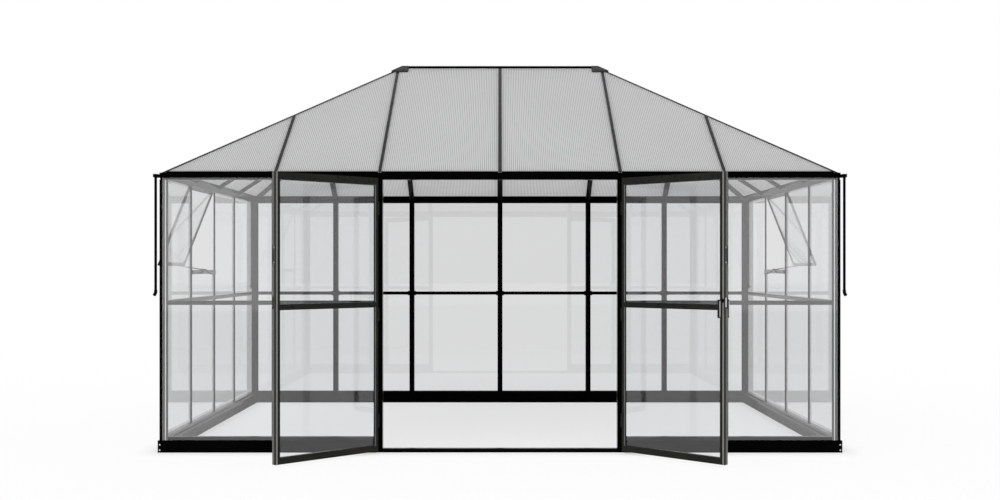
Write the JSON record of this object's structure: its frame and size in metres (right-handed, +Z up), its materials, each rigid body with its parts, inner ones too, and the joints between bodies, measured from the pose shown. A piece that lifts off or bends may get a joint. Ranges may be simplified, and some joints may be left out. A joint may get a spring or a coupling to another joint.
{
  "type": "glass greenhouse",
  "caption": "Walk-in glass greenhouse with a black metal frame, a hipped translucent roof, gutters with downpipes, side vents and a pair of hinged glazed doors standing open.",
  "frame": {"origin": "on the ground, in the middle of the doorway and half way through the depth of its threshold", "axes": "+X along the front wall, +Y from the doorway to the back wall, +Z up"},
  "size_m": [5.0556, 3.6243, 2.849],
  "materials": {
    "frame_black": "satin black powder coat on aluminium",
    "wall_glass": "clear",
    "roof_sheet": "clear twin-wall polycarbonate with fine ribs",
    "trim_plastic": "matt black",
    "edge_steel": "brushed",
    "lever_chrome": "polished"
  },
  "bodies": {
    "frame": {"plinth": "frame_black", "door_threshold": "frame_black", "sill_rails": "frame_black", "corner_posts": "frame_black", "door_jambs": "frame_black", "front_mullions": "frame_black", "back_posts": "frame_black", "side_glazing_bars": "frame_black", "mid_rails": "frame_black", "front_eaves_beam": "frame_black", "back_eaves_beam": "frame_black", "left_eaves_beam": "frame_black", "right_eaves_beam": "frame_black", "vent_stiles": "frame_black", "vent_rails": "frame_black", "vent_cross_rails": "frame_black", "vent_stays": "frame_black", "rafters": "frame_black", "hip_bars": "frame_black", "ridge_beam": "frame_black", "door_hinge_brackets": "frame_black", "front_glass": "wall_glass", "back_glass": "wall_glass", "left_glass": "wall_glass", "right_glass": "wall_glass", "vent_glass": "wall_glass", "front_roof_sheets": "roof_sheet", "back_roof_sheets": "roof_sheet", "left_roof_sheets": "roof_sheet", "right_roof_sheets": "roof_sheet", "gutter_outlets": "trim_plastic", "downpipes": "trim_plastic", "ridge_end_caps": "trim_plastic"},
    "left_door": {"left_door_stiles": "frame_black", "left_door_rails": "frame_black", "left_door_glass": "wall_glass", "left_door_hinges": "frame_black", "left_door_edge_plates": "edge_steel"},
    "right_door": {"right_door_stiles": "frame_black", "right_door_rails": "frame_black", "right_door_glass": "wall_glass", "right_door_hinges": "frame_black", "right_door_edge_plates": "edge_steel", "lever_roses": "lever_chrome"},
    "door_handle": {"door_lever": "lever_chrome"}
  },
  "joints": [
    {"name": "left_door_hinge", "type": "hinge", "parent": "frame", "child": "left_door", "pos_m": [-0.816, -0.049, 0.925], "axis": [0, 0, -1], "range_deg": [-136.5, 33.5]},
    {"name": "right_door_hinge", "type": "hinge", "parent": "frame", "child": "right_door", "pos_m": [0.816, -0.049, 0.925], "axis": [0, 0, 1], "range_deg": [-136.5, 33.5]},
    {"name": "lever_turn", "type": "hinge", "parent": "right_door", "child": "door_handle", "pos_m": [1.38992, -0.59914, 1.036], "axis": [0.6884, 0.7254, 0], "range_deg": [0, 90]}
  ]
}
